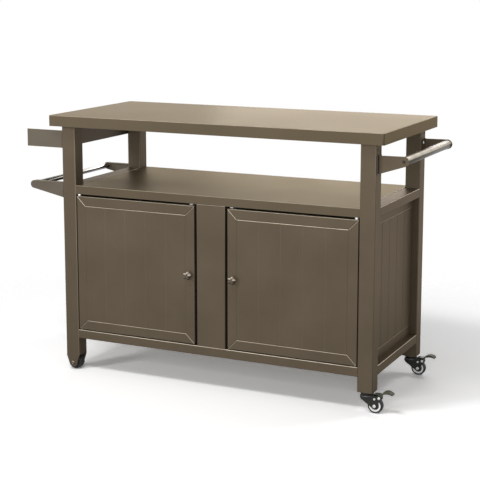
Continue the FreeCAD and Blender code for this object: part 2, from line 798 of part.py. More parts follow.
def caster_pins(y):
    """The axle bolt, the rivet that the pedal turns on, and a short rivet in each cheek."""
    axle, brake_pin, cheek_rivet = fork_pins()
    half = fork_half_gap + fork_sheet
    solids = []
    for x, z, diameter in (axle, brake_pin):
        shaft = rod(diameter / 2, half * 2, Vector(x, y - half, z), Y)
        solids.append(shaft.fuse(pin_heads(x, y, z, diameter)).removeSplitter())
    x, z, diameter = cheek_rivet
    for start in (y - half, y + fork_half_gap):
        shank = rod(diameter / 2, fork_sheet, Vector(x, start, z), Y)
        heads = pin_heads(x, y, z, diameter).common(box(x - half, start - half / 2, z - half, x + half,
                                                        start + half / 2, z + half))
        solids.append(shank.fuse(heads).removeSplitter())
    return solids


def pin_heads(x, y, z, diameter):
    """Two rounded heads on the outer faces of a fork's cheeks."""
    half = fork_half_gap + fork_sheet
    front = rod(diameter * 0.9, diameter / 2, Vector(x, y - half - diameter / 2, z), Y)
    front = front.makeFillet(diameter * 0.35, [min(front.Edges, key=lambda e: e.BoundBox.YMax)])
    rear = front.mirror(Vector(x, y, z), Y)
    return Part.makeCompound([front, rear])


def caster_pedal(y):
    """The brake pedal: a curved tread on a neck that turns on its rivet above the wheel."""
    neck_low = crown_top - side_clearance
    neck_high = neck_low + pedal_thick
    joint_x = brake_pin_x + brake_pin_diameter
    crest_x = brake_pin_x + pedal_crest_reach
    tip = Vector(brake_pin_x + pedal_reach, 0, neck_high + pedal_tip_drop)
    crest = Vector(crest_x, 0, neck_high + pedal_tip_drop + pedal_crest_rise)
    edges = [
        Part.Arc(Vector(joint_x, 0, neck_high), crest, tip).toShape(),
        Part.makeLine(tip, tip - Z * pedal_thick),
        Part.Arc(tip - Z * pedal_thick, crest - Z * pedal_crest_rise, Vector(joint_x, 0, neck_low)).toShape(),
        Part.makeLine(Vector(joint_x, 0, neck_low), Vector(joint_x, 0, neck_high)),
    ]
    tread = Part.Face(Part.Wire(edges)).extrude(Y * pedal_width).translated(Y * (y - pedal_width / 2))
    inner = caster_wheel_width - side_clearance * 2
    low_y = y - inner / 2
    heel_x = brake_pin_x - pedal_heel_reach
    neck = box(heel_x, low_y, neck_low, joint_x + pedal_thick, low_y + inner, neck_high)
    pivot = Vector(brake_pin_x, low_y, brake_pin_z)
    knuckle = rod(brake_pin_diameter, inner, pivot, Y)
    web = box(pivot.x - brake_pin_diameter, low_y, pivot.z, pivot.x + brake_pin_diameter, low_y + inner,
              neck_high)
    solid = tread.fuse(neck).fuse(knuckle).fuse(web).removeSplitter()
    return solid.cut(rod(brake_pin_diameter / 2 + running_fit, inner + 2, pivot - Y, Y))


def rear_copy(solid):
    """A copy reflected front to back about the middle of the cart."""
    return solid.mirror(Vector(0, middle_y, 0), Y)


def build_frame():
    save("tabletop", tabletop())
    save("top_channel_left", top_channel(left_leg_x))
    save("top_channel_right", top_channel(right_leg_x))
    rear_stiffener = top_depth - stiffener_front - stiffener_width
    save("top_stiffeners", top_stiffener(stiffener_front), top_stiffener(rear_stiffener))
    save("leg_front_left", drilled(wheel_leg(left_leg_x, front_leg_y)))
    save("leg_rear_left", drilled(wheel_leg(left_leg_x, rear_leg_y)))
    save("leg_front_right", drilled(leg_tube(right_leg_x, front_leg_y, caster_height)))
    save("leg_rear_right", drilled(leg_tube(right_leg_x, rear_leg_y, caster_height)))
    corners = [(x, y) for x in (left_leg_x, right_leg_x) for y in (front_leg_y, rear_leg_y)]
    save("leg_top_plates", *[leg_closer(x, y, leg_top - leg_plate) for x, y in corners])
    save("foot_plates", *[leg_closer(right_leg_x, y, caster_height) for y in (front_leg_y, rear_leg_y)])
    save("leg_screws", *[screw(*place, leg_screw_head / 2) for place in leg_screws()])
    right = upper_side_rail()
    save("side_rail_upper_right", right)
    save("side_rail_upper_left", mirrored(right, top_length / 2))


def build_cabinet():
    front = front_leg_y + door_front_set
    rear = rear_face - door_front_set
    save("deck", with_pin_holes(deck()))
    front_rail = lower_rail(inner_left, front, inner_right, front + lower_rail_width, X)
    save("lower_rail_front", with_pin_holes(front_rail))
    save("lower_rail_rear", lower_rail(inner_left, rear - lower_rail_width, inner_right, rear, X))
    save("lower_rail_left", lower_rail(left_leg_x, inner_front, left_leg_x + leg_width, inner_rear, Y))
    save("lower_rail_right", lower_rail(right_leg_x, inner_front, outer_right, inner_rear, Y))
    save("cabinet_floor", cabinet_floor())
    right = side_panel()
    save("side_panel_right", right)
    save("side_panel_left", mirrored(right, top_length / 2))
    save("back_panel", back_panel())
    save("centre_stile", centre_stile(front, 1))
    save("rear_post", centre_stile(rear_face - panel_fold * 1.5, -1))


def build_doors():
    middle = top_length / 2
    pieces = {
        "door_{}": [door_shell()],
        "door_{}_liner": [door_liner()],
        "hinge_bushes_{}": [hinge_bush(True), hinge_bush(False)],
        "strike_{}": [catch_strike()],
        "knob_{}": [knob()],
        "knob_screw_{}": [knob_screw()],
    }
    for name, solids in pieces.items():
        save(name.format("left"), *solids)
        save(name.format("right"), *[mirrored(s, middle) for s in solids])
    pins = [hinge_pin(True), hinge_pin(False)]
    save("hinge_pins", *pins, *[mirrored(p, middle) for p in pins])
    catch = door_catch()
    save("door_catches", catch, mirrored(catch, middle))


def build_sides():
    save("spice_tray", drilled(spice_tray()))
    bracket = drilled(rack_bracket())
    save("rack_bracket_front", bracket)
    save("rack_bracket_rear", rear_copy(bracket))
    save("rack_bar", rack_bar())
    handle = drilled(handle_bracket())
    save("handle_bracket_front", handle)
    save("handle_bracket_rear", rear_copy(handle))
    pad = handle_pad()
    save("handle_pads", pad, rear_copy(pad))
    save("handle_tube", handle_tube())
    save("side_screws", *[screw(*place) for place in side_screws()])


def build_wheels():
    for end, y in (("front", front_wheel_y), ("rear", rear_wheel_y)):
        save("wheel_" + end + "_left", left_wheel(y))
        save("caster_stem_" + end, caster_stem(y))
        save("caster_fork_" + end, caster_fork(y))
        save("caster_wheel_" + end, caster_wheel(y))
        save("caster_pins_" + end, *caster_pins(y))
        save("caster_pedal_" + end, caster_pedal(y))
    save("axle_bolts", axle_bolt(front_wheel_y), axle_bolt(rear_wheel_y))


os.makedirs("parts", exist_ok=True)
build_frame()
build_cabinet()
build_doors()
build_sides()
build_wheels()
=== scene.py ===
import math

import bmesh
import bpy
from mathutils import Matrix, Vector


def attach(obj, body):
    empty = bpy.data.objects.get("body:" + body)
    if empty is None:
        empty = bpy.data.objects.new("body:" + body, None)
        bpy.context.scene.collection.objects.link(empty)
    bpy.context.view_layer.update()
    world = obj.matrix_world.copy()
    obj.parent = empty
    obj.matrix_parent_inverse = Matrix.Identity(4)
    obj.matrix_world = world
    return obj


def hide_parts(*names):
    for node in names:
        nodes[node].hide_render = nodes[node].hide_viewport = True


# The looks of the grill cart: coatings and metals on the frame's own nodes, and finer wheels, screws
# and small parts in place of the plain ones. Metres, in the frame's own axes; the shapes' own sizes
# are in millimetres.

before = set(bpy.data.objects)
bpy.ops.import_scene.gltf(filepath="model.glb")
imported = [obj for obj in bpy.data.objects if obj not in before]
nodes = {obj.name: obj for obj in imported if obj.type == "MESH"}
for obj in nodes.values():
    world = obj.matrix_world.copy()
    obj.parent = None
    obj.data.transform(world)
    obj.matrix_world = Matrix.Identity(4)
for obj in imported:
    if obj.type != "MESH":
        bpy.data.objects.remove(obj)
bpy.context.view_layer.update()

MM = 0.001
ROUND = math.tau
UP = Vector((0, 0, 1))
BACK = Vector((0, 1, 0))
RIGHT = Vector((1, 0, 0))

# Corners nearer than this are one, also on the lathe; angles in degrees from which an edge is rounded
SAME_PLACE = 0.01 * MM
LATHE_SAME = 0.004 * MM
NODE_CORNER = 30
PIECE_CORNER = 25

# The front and the rear pair of wheels: place along the depth, and height of the wheels' middle
ROWS = (("front", -222), ("rear", 222))
WHEEL_MIDDLE = 25
LEG_WHEEL_X = -522
CASTER_WHEEL_X = 594
CASTER_X = 565

# Camera: focal length and vertical shift for a square picture 480 pixels wide
PICTURE = 480
FOCAL_PIXELS = 1298.4
PRINCIPAL_Y = 192
CAMERA_PLACE = (1.906, -3.9763, 1.3772)
CAMERA_YAW = 0.4447
CAMERA_PITCH = -0.1669


# Shader building

# A Mix node's colour sockets (first, second, result), and how deep a full bump is
MIX_FIRST = 6
MIX_SECOND = 7
MIX_RESULT = 2
BUMP_DEPTH = 0.0002


def node_in(tree, kind, **values):
    """A shader node with its settings; sockets are named with _ for a space."""
    made = tree.nodes.new(kind)
    for name, value in values.items():
        socket = made.inputs.get(name.replace("_", " "))
        if socket is not None:
            socket.default_value = value
        else:
            setattr(made, name, value)
    return made


def feed(tree, socket, value):
    """Links a socket to another node's output, or sets its value."""
    if isinstance(value, bpy.types.NodeSocket):
        tree.links.new(value, socket)
    else:
        socket.default_value = value


def maths(tree, operation, *values):
    """A Math node; each value is a number or the output that feeds it."""
    made = node_in(tree, "ShaderNodeMath", operation=operation)
    for socket, value in zip(made.inputs, values):
        feed(tree, socket, value)
    return made.outputs[0]


def span(tree, value, low=0.0, high=1.0, bottom=0.0, top=1.0, smooth=False):
    """A value's way from low to high as a way from bottom to top."""
    made = node_in(tree, "ShaderNodeMapRange",
                   interpolation_type="SMOOTHSTEP" if smooth else "LINEAR")
    for label, setting in (("From Min", low), ("From Max", high), ("To Min", bottom), ("To Max", top)):
        feed(tree, made.inputs[label], setting)
    feed(tree, made.inputs["Value"], value)
    return made.outputs["Result"]


def colour_mix(tree, factor, first, second):
    made = node_in(tree, "ShaderNodeMix", data_type="RGBA")
    feed(tree, made.inputs["Factor"], factor)
    feed(tree, made.inputs[MIX_FIRST], first)
    feed(tree, made.inputs[MIX_SECOND], second)
    return made.outputs[MIX_RESULT]


def noise(tree, where, **values):
    made = node_in(tree, "ShaderNodeTexNoise", **values)
    tree.links.new(where, made.inputs["Vector"])
    return made


def new_group(name, inputs, outputs):
    """A node group with its sockets: its tree, its start, its end and its texture coordinates."""
    tree = bpy.data.node_groups.new(name, "ShaderNodeTree")
    kinds = {3: "NodeSocketVector", 4: "NodeSocketColor"}
    for label, value in inputs.items():
        kind = kinds[len(value)] if isinstance(value, tuple) else "NodeSocketFloat"
        socket = tree.interface.new_socket(name=label, in_out="INPUT", socket_type=kind)
        socket.default_value = value
    for label, kind in outputs.items():
        tree.interface.new_socket(name=label, in_out="OUTPUT", socket_type=kind)
    return (tree, tree.nodes.new("NodeGroupInput"), tree.nodes.new("NodeGroupOutput"),
            tree.nodes.new("ShaderNodeTexCoord"))


# What every finish takes and gives
FINISH_INPUTS = {"Dark": (0.1, 0.1, 0.1, 1), "Light": (0.2, 0.2, 0.2, 1), "Rough Low": 0.4,
                 "Rough High": 0.5}
FINISH_OUTPUTS = {"Color": "NodeSocketColor", "Roughness": "NodeSocketFloat", "Height": "NodeSocketFloat"}


def finish_ends(tree, start, end, shade, gloss, height):
    """Shade picks the colour between Dark and Light, gloss the roughness; height goes out as it is."""
    colour = colour_mix(tree, shade, start.outputs["Dark"], start.outputs["Light"])
    tree.links.new(colour, end.inputs["Color"])
    roughness = span(tree, gloss, bottom=start.outputs["Rough Low"], top=start.outputs["Rough High"])
    tree.links.new(roughness, end.inputs["Roughness"])
    tree.links.new(height, end.inputs["Height"])


def coating_group():
    """Cloudy shade, gloss patches and orange-peel height of a sprayed coating."""
    tree, start, end, place = new_group(
        "sprayed_coating", {"Cloud Scale": 6.0, "Peel Scale": 700.0, **FINISH_INPUTS}, FINISH_OUTPUTS)
    speck_finer = 3.1
    speck_share = 0.35
    cloud_span = (0.45, 0.9)
    cloud = noise(tree, place.outputs["Object"], Detail=3.0, Roughness=0.55)
    peel = noise(tree, place.outputs["Object"], Detail=2.0, Roughness=0.5)
    speck = noise(tree, place.outputs["Object"], Detail=1.0, Roughness=0.5)
    tree.links.new(start.outputs["Cloud Scale"], cloud.inputs["Scale"])
    tree.links.new(start.outputs["Peel Scale"], peel.inputs["Scale"])
    tree.links.new(maths(tree, "MULTIPLY", start.outputs["Peel Scale"], speck_finer), speck.inputs["Scale"])
    blend = maths(tree, "MULTIPLY_ADD", speck.outputs["Fac"], speck_share, cloud.outputs["Fac"])
    finish_ends(tree, start, end, span(tree, blend, *cloud_span), cloud.outputs["Fac"],
                peel.outputs["Fac"])
    return tree


def brushed_group():
    """Fine lines that run along one axis, for drawn and polished metal."""
    tree, start, end, place = new_group(
        "drawn_lines", {"Stretch": (400.0, 4.0, 400.0), **FINISH_INPUTS}, FINISH_OUTPUTS)
    stretch = node_in(tree, "ShaderNodeVectorMath", operation="MULTIPLY")
    tree.links.new(place.outputs["Object"], stretch.inputs[0])
    tree.links.new(start.outputs["Stretch"], stretch.inputs[1])
    lines = noise(tree, stretch.outputs[0], Scale=1.0, Detail=4.0, Roughness=0.6).outputs["Fac"]
    finish_ends(tree, start, end, lines, lines, lines)
    return tree


# Slopes by how far their face points along an axis, from 1 to -1: where each mask sets in or ends. Faces
# that tilt up or left get a painted highlight, faces that tilt down a painted shade
UP_TILTED = (0.10, 0.40)
UP_LEVEL = (0.90, 0.98)
DOWN_TILTED = (-0.40, -0.10)
DOWN_LEVEL = (-0.98, -0.90)
LEFT_TILTED = (-0.25, -0.10)
LEFT_LEVEL = (-0.98, -0.80)

# The painted highlight comes in patches: how fine they are, where in the noise they grow, and the least
# highlight between them
PATCH_SCALE = 16.0
PATCH_SPAN = (0.25, 0.60)
PATCH_LEAST = 0.65


def painted_slope_light_group():
    """Masks of painted light on slopes: a painted highlight, in patches, on those that face up or left, and
    a painted shade on those that face down."""
    tree, start, end, place = new_group(
        "painted_highlight_and_shade_slopes",
        {"Low Height": 0.0, "High Height": 0.1, "Low Highlight": 1.0, "Flat Highlight": 0.0, "Side Highlight": 0.0},
        {"Painted Highlight": "NodeSocketFloat", "Painted Shade": "NodeSocketFloat"})
    facing = tree.nodes.new("ShaderNodeSeparateXYZ")
    tree.links.new(place.outputs["Normal"], facing.inputs["Vector"])
    height = tree.nodes.new("ShaderNodeSeparateXYZ")
    tree.links.new(place.outputs["Object"], height.inputs["Vector"])

    def step(value, low, high, bottom=0.0, top=1.0):
        return span(tree, value, low, high, bottom, top, smooth=True)

    def both(first, second):
        return maths(tree, "MULTIPLY", first, second)

    patch = noise(tree, place.outputs["Object"], Scale=PATCH_SCALE, Detail=3.0, Roughness=0.55)
    upward = both(step(facing.outputs["Z"], *UP_TILTED),
                  step(facing.outputs["Z"], *UP_LEVEL, 1.0, start.outputs["Flat Highlight"]))
    wear_and_highlight = both(upward, step(patch.outputs["Fac"], *PATCH_SPAN, PATCH_LEAST, 1.0))
    by_height = step(height.outputs["Z"], start.outputs["Low Height"], start.outputs["High Height"],
                     start.outputs["Low Highlight"], 1.0)
    leftward = both(step(facing.outputs["X"], *LEFT_TILTED, 1.0, 0.0),
                    step(facing.outputs["X"], *LEFT_LEVEL))
    # painted highlight: upward slopes in patches, weaker low down, and slopes that face left
    worn = maths(tree, "MAXIMUM", both(wear_and_highlight, by_height), both(leftward, start.outputs["Side Highlight"]))
    tree.links.new(worn, end.inputs["Painted Highlight"])
    # painted shade on slopes that face down
    downward = both(step(facing.outputs["Z"], *DOWN_TILTED, 1.0, 0.0),
                    step(facing.outputs["Z"], *DOWN_LEVEL))
    tree.links.new(downward, end.inputs["Painted Shade"])
    return tree


COATING = coating_group()
BRUSHED = brushed_group()
SLOPE_LIGHT_MASKS = painted_slope_light_group()


def painted_slope_light_colour(tree, colour, worn):
    """The colour with a painted highlight on slopes that face up or left and a painted shade on those that
    face down.
    """
    slopes = tree.nodes.new("ShaderNodeGroup")
    slopes.node_tree = SLOPE_LIGHT_MASKS
    low, high = worn["heights"]
    for label, value in (("Low Height", low), ("High Height", high), ("Low Highlight", worn["low_highlight"]),
                         ("Flat Highlight", worn.get("flat_highlight", 0.0)),
                         ("Side Highlight", worn.get("side_highlight", 0.0))):
        slopes.inputs[label].default_value = value
    for mask, tint in (("Painted Highlight", worn["painted_highlight"]), ("Painted Shade", worn["painted_shade"])):
        colour = colour_mix(tree, slopes.outputs[mask], colour, (*tint, 1))
    return colour


def finish_material(name, group, dark, light, rough, metal=0.0, bump=0.1, worn=None, **extra):
    """A Principled material fed by one of the groups; extra holds group inputs and shader sockets."""
    material = bpy.data.materials.new(name)
    material.use_nodes = True
    tree = material.node_tree
    link = tree.links.new
    shader = tree.nodes["Principled BSDF"]
    shader.inputs["Metallic"].default_value = metal
    pattern = tree.nodes.new("ShaderNodeGroup")
    pattern.node_tree = group
    pattern.inputs["Dark"].default_value = (*dark, 1)
    pattern.inputs["Light"].default_value = (*light, 1)
    pattern.inputs["Rough Low"].default_value = rough[0]
    pattern.inputs["Rough High"].default_value = rough[1]
    for key, value in extra.items():
        label = key.replace("_", " ")
        target = pattern if label in pattern.inputs else shader
        target.inputs[label].default_value = value
    colour = pattern.outputs["Color"]
    # painted highlight and shade on slopes, where a set of them is given
    if worn:
        colour = painted_slope_light_colour(tree, colour, worn)
    height = node_in(tree, "ShaderNodeBump", Strength=bump, Distance=BUMP_DEPTH)
    link(colour, shader.inputs["Base Color"])
    link(pattern.outputs["Roughness"], shader.inputs["Roughness"])
    link(pattern.outputs["Height"], height.inputs["Height"])
    link(height.outputs["Normal"], shader.inputs["Normal"])
    return material


# A satin bronze coat: fine metal flakes in a matt film, warmer on the top and the deck
SATIN = {"metal": 0.45, "Specular_IOR_Level": 0.25, "Specular_Tint": (0.80, 0.62, 0.42, 1)}
WARM_SATIN = {**SATIN, "Specular_Tint": (0.83, 0.62, 0.30, 1)}

# Painted light on slopes: colour of the painted highlight on upward slopes and of the painted shade on
# downward ones, the two heights in metres between which the highlight grows from its low share to full, and
# how much highlight the level faces and the ones that face left get
# painted highlight on the coat's upward fillets, painted shade on its downward slopes
COAT_PAINTED_LIGHT = {"painted_highlight": (0.34, 0.29, 0.22), "painted_shade": (0.05, 0.038, 0.024), "heights": (0.2, 0.5),
        "low_highlight": 0.35}
# a stronger painted highlight on the edge coat's upward slopes
EDGE_PAINTED_LIGHT = {**COAT_PAINTED_LIGHT, "painted_highlight": (0.78, 0.69, 0.56), "low_highlight": 0.6}
# painted highlight along the doors' upward crease walls and mitres and on walls that face left, painted
# shade below
DOOR_PAINTED_LIGHT = {"painted_highlight": (0.46, 0.40, 0.315), "painted_shade": (0.030, 0.023, 0.014), "heights": (0.16, 0.30),
             "low_highlight": 0.75, "side_highlight": 0.12}
# painted highlight line along the rails' upper edges
RAIL_PAINTED_LIGHT = {"painted_highlight": (0.90, 0.80, 0.66), "painted_shade": (0.045, 0.034, 0.022), "heights": (0.16, 0.5),
             "low_highlight": 0.7}
# painted highlight on the brackets' top edges, their level tops included
PLATE_PAINTED_LIGHT = {**RAIL_PAINTED_LIGHT, "painted_highlight": (0.60, 0.53, 0.43), "flat_highlight": 1.0}
# painted glints on the knob lobes' upper sides, painted shade under them
KNOB_PAINTED_LIGHT = {"painted_highlight": (0.56, 0.48, 0.395), "painted_shade": (0.030, 0.020, 0.012), "heights": (0.0, 0.1),
             "low_highlight": 1.0}
# painted highlight crescent on the bolt heads' upper side, painted shade below
AXLE_PAINTED_LIGHT = {"painted_highlight": (0.26, 0.235, 0.20), "painted_shade": (0.02, 0.016, 0.012), "heights": (-1.0, 0.0),
             "low_highlight": 1.0}
# painted highlight band along the handle tube's top, painted shade on its underside
TUBE_PAINTED_LIGHT = {"painted_highlight": (0.90, 0.82, 0.68), "painted_shade": (0.020, 0.016, 0.011), "heights": (0.0, 0.1),
             "low_highlight": 1.0}
# painted reflection on the rack bar: bright along its top, dark underneath
BAR_PAINTED_LIGHT = {"painted_highlight": (0.86, 0.84, 0.78), "painted_shade": (0.035, 0.030, 0.022), "heights": (0.0, 0.1),
            "low_highlight": 1.0}

TAUPE = {"dark": (0.094, 0.074, 0.051), "light": (0.113, 0.0895, 0.062), "rough": (0.42, 0.52),
         "bump": 0.25, "Cloud_Scale": 5.0}
COAT_GRAIN = 650.0


def taupe_coat(name, worn, **changes):
    """The frame's satin taupe powder coat, with the painted highlight and painted shade on slopes that the
    piece's set gives.
    """
    return finish_material(name, COATING, worn=worn, Peel_Scale=COAT_GRAIN, **{**TAUPE, **SATIN, **changes})


def edge_wear_and_highlight_coat(name, dark, light, rough, worn):
    """The lighter, glossier coat on a rounded edge: partly rubbed wear, partly a painted highlight line."""
    return finish_material(name, COATING, dark, light, rough, metal=0.3, bump=0.1, worn=worn,
                           Cloud_Scale=14.0, Peel_Scale=COAT_GRAIN)


def moulded(name, dark, light, rough, bump, cloud, grain, **extra):
    """A plain coated or moulded finish."""
    return finish_material(name, COATING, dark, light, rough, bump=bump, Cloud_Scale=cloud,
                           Peel_Scale=grain, **extra)


def plated(name, dark, light, rough, metal, **extra):
    """Zinc or steel with a grain that is alike in all directions."""
    return finish_material(name, BRUSHED, dark, light, rough, metal=metal, bump=0.08,
                           Stretch=(900.0, 900.0, 900.0), **extra)


POWDER = taupe_coat("taupe_powder_coat", COAT_PAINTED_LIGHT)
RAIL_COAT = taupe_coat("rail_powder_coat", RAIL_PAINTED_LIGHT)
PLATE_COAT = taupe_coat("bracket_powder_coat", PLATE_PAINTED_LIGHT)
DOOR_COAT = taupe_coat("door_powder_coat", DOOR_PAINTED_LIGHT)
DECK_COAT = taupe_coat("deck_powder_coat", COAT_PAINTED_LIGHT, **WARM_SATIN)
POWDER_TOP = taupe_coat("top_powder_coat", COAT_PAINTED_LIGHT, dark=(0.095, 0.074, 0.049), light=(0.112, 0.0875, 0.059),
                        rough=(0.38, 0.46), bump=0.2, Cloud_Scale=3.0, **WARM_SATIN)
TRAY_COAT = taupe_coat("tray_powder_coat", COAT_PAINTED_LIGHT, dark=(0.112, 0.094, 0.074), light=(0.132, 0.112, 0.089),
                       rough=(0.42, 0.50), Cloud_Scale=8.0)
# Lighter edge coats, partly rubbed wear and partly painted highlight lines, with painted highlight and shade
# on their slopes
EDGE_WEAR_AND_HIGHLIGHT = edge_wear_and_highlight_coat("powder_edge_wear_and_highlight", (0.16, 0.128, 0.09), (0.20, 0.16, 0.115), (0.24, 0.34),
                          EDGE_PAINTED_LIGHT)
DOOR_EDGE_WEAR_AND_HIGHLIGHT = edge_wear_and_highlight_coat("door_edge_wear_and_highlight", (0.12, 0.096, 0.066), (0.15, 0.12, 0.085), (0.30, 0.40),
                          COAT_PAINTED_LIGHT)

KNOB_SKIN = moulded("moulded_knob", (0.088, 0.066, 0.046), (0.104, 0.079, 0.055), (0.22, 0.30), 0.1, 40.0,
                    1400.0, worn=KNOB_PAINTED_LIGHT, Specular_IOR_Level=0.3)
BLACK_STEEL = moulded("black_caster_steel", (0.006, 0.0070, 0.0052), (0.012, 0.0138, 0.0100),
                      (0.22, 0.34), 0.3, 30.0, 1200.0)
PEDAL_COAT = moulded("brake_pedal_coat", (0.036, 0.038, 0.020), (0.052, 0.054, 0.030), (0.42, 0.55),
                     0.35, 40.0, 1500.0)
TYRE_RUBBER = moulded("tyre_rubber", (0.006, 0.006, 0.006), (0.012, 0.012, 0.0115), (0.45, 0.62), 0.4,
                      60.0, 1800.0)
RIM_PLASTIC = moulded("pale_rim_plastic", (0.82, 0.82, 0.80), (0.90, 0.90, 0.88), (0.35, 0.45), 0.15,
                      50.0, 1500.0)
HUB_PLASTIC = moulded("dark_hub_plastic", (0.010, 0.010, 0.010), (0.018, 0.018, 0.018), (0.35, 0.45),
                      0.2, 50.0, 1500.0)
# Near-black plastic: the real hinge bushes, and dark stand-ins for shade in the handle's slit and behind the
# door gap
DARK_PLASTIC_AND_PAINTED_SHADE = moulded("bush_plastic", (0.016, 0.013, 0.010), (0.027, 0.022, 0.018), (0.42, 0.52), 0.2,
                       60.0, 1500.0)
CATCH_NYLON = moulded("pale_catch_nylon", (0.58, 0.57, 0.53), (0.70, 0.69, 0.65), (0.38, 0.48), 0.15,
                      60.0, 1500.0)

ZINC = plated("zinc_plating", (0.70, 0.69, 0.66), (0.84, 0.83, 0.80), (0.24, 0.36), 0.6)
DARK_ZINC = plated("dark_zinc_plating", (0.10, 0.09, 0.08), (0.17, 0.155, 0.14), (0.30, 0.42), 0.8)
AXLE_STEEL = plated("axle_bolt_steel", (0.045, 0.038, 0.030), (0.06, 0.052, 0.042), (0.26, 0.36), 0.4,
                    worn=AXLE_PAINTED_LIGHT)

# Drawn along the depth of the cart, as both round bars are
DRAWN_ALONG = (600.0, 5.0, 600.0)
TUBE_METAL = finish_material("champagne_tube", BRUSHED, (0.040, 0.033, 0.024), (0.056, 0.046, 0.034),
                             (0.30, 0.36), metal=0.15, bump=0.05, worn=TUBE_PAINTED_LIGHT, Stretch=DRAWN_ALONG,
                             Specular_IOR_Level=0.25, Specular_Tint=(0.85, 0.72, 0.56, 1))
RAIL_METAL = finish_material("polished_rail", BRUSHED, (0.085, 0.075, 0.058), (0.12, 0.105, 0.082),
                             (0.14, 0.22), metal=0.9, bump=0.04, worn=BAR_PAINTED_LIGHT, Stretch=DRAWN_ALONG)

# Each coat's lighter edge coat: partly rubbed wear, partly painted highlight lines
EDGE_WEAR_AND_HIGHLIGHT_COATS = {coat.name: EDGE_WEAR_AND_HIGHLIGHT
                for coat in (POWDER, POWDER_TOP, DECK_COAT, TRAY_COAT, RAIL_COAT, PLATE_COAT)}
EDGE_WEAR_AND_HIGHLIGHT_COATS[DOOR_COAT.name] = DOOR_EDGE_WEAR_AND_HIGHLIGHT


# CAD nodes: material, joined corners and a small rounded edge

def round_edge(thing, width, angle, harden):
    """A narrow edge in two steps, at corners sharper than the angle in degrees."""
    bevel = thing.modifiers.new("edge", "BEVEL")
    bevel.width = width
    bevel.segments = 2
    bevel.limit_method = "ANGLE"
    bevel.angle_limit = math.radians(angle)
    bevel.harden_normals = harden
    return bevel


def dress(name, material, edge):
    """Gives a node its finish, and a narrow rounded edge in a lighter coat that is partly rubbed wear and
    partly a painted highlight line.
    """
    thing = nodes[name]
    thing.data.materials.clear()
    thing.data.materials.append(material)
    wear_and_highlight = EDGE_WEAR_AND_HIGHLIGHT_COATS.get(material.name)
    if wear_and_highlight:
        thing.data.materials.append(wear_and_highlight)
    if edge:
        weld = thing.modifiers.new("weld", "WELD")
        weld.merge_threshold = SAME_PLACE
        bevel = round_edge(thing, edge, NODE_CORNER, False)
        # the rounded edge's faces take the lighter edge coat, a painted highlight line that is partly wear
        bevel.material = 1 if wear_and_highlight else 0


LOOKS = {
    "tabletop": POWDER_TOP,
    "deck": DECK_COAT,
    "spice_tray": TRAY_COAT,
    "rack_bracket_front": TRAY_COAT,
    "rack_bracket_rear": TRAY_COAT,
    "rack_bar": RAIL_METAL,
    "handle_tube": TUBE_METAL,
    # the near-black pads stand in for the shade in the slit beside the handle brackets
    "handle_pads": DARK_PLASTIC_AND_PAINTED_SHADE,
    "hinge_bushes_left": DARK_PLASTIC_AND_PAINTED_SHADE,
    "hinge_bushes_right": DARK_PLASTIC_AND_PAINTED_SHADE,
}
for metal_node in ("caster_pins_front", "caster_pins_rear", "knob_screw_left", "knob_screw_right",
                   "strike_left", "strike_right"):
    LOOKS[metal_node] = ZINC
for side in ("left", "right"):
    LOOKS["door_" + side] = DOOR_COAT
    LOOKS["side_rail_upper_" + side] = RAIL_COAT
for side in ("front", "rear", "left", "right"):
    LOOKS["lower_rail_" + side] = RAIL_COAT
for end in ("front", "rear"):
    LOOKS["caster_stem_" + end] = BLACK_STEEL
    LOOKS["handle_bracket_" + end] = PLATE_COAT
    LOOKS["caster_pedal_" + end] = PEDAL_COAT

# Nodes too fine for a rounded edge, and nodes that finished pieces replace
FINE = {"caster_pins_front", "caster_pins_rear", "knob_screw_left", "knob_screw_right",
        "hinge_bushes_left", "hinge_bushes_right"}
REPLACED = {"leg_screws", "side_screws", "axle_bolts", "knob_left", "knob_right", "caster_wheel_front",
            "caster_wheel_rear", "wheel_front_left", "wheel_rear_left", "hinge_pins", "door_catches",
            "caster_fork_front", "caster_fork_rear"}

# Width of the rounded edge in mm, on most nodes and on the ones with an edge of their own
PLAIN_EDGE = 0.5
EDGES = {"tabletop": 1.2, "handle_bracket_front": 0.9, "handle_bracket_rear": 0.9, "deck": 0.9,
         "side_rail_upper_left": 1.0, "side_rail_upper_right": 1.0, "lower_rail_right": 0.9}
for node_name in nodes:
    if node_name not in REPLACED:
        edge = 0 if node_name in FINE else EDGES.get(node_name, PLAIN_EDGE)
        dress(node_name, LOOKS.get(node_name, POWDER), edge * MM)


# Turned and moulded pieces

def turned(profile, centre, axis, steps=48, ring=False):
    """A shape lathed round an axis; profile is (radius, reach along the axis) in mm, ring joins its ends."""
    shape = bmesh.new()
    outward = axis.orthogonal().normalized()
    corners = []
    for radius, reach in profile:
        corners.append(shape.verts.new(centre + outward * (radius * MM) + axis * (reach * MM)))
    edges = [shape.edges.new(pair) for pair in zip(corners, corners[1:])]
    if ring:
        edges.append(shape.edges.new((corners[-1], corners[0])))
    bmesh.ops.spin(shape, geom=corners + edges, cent=centre, axis=axis, angle=ROUND, steps=steps,
                   use_merge=True)
    bmesh.ops.remove_doubles(shape, verts=shape.verts[:], dist=LATHE_SAME)
    bmesh.ops.recalc_face_normals(shape, faces=shape.faces[:])
    return shape


def made_verts(made):
    """The vertices among what an operator made."""
    return [item for item in made if isinstance(item, bmesh.types.BMVert)]


def joined(shapes):
    """Several loose shapes as one."""
    whole = bmesh.new()
    for shape in shapes:
        part = bpy.data.meshes.new("part")
        shape.to_mesh(part)
        shape.free()
        whole.from_mesh(part)
        bpy.data.meshes.remove(part)
    return whole


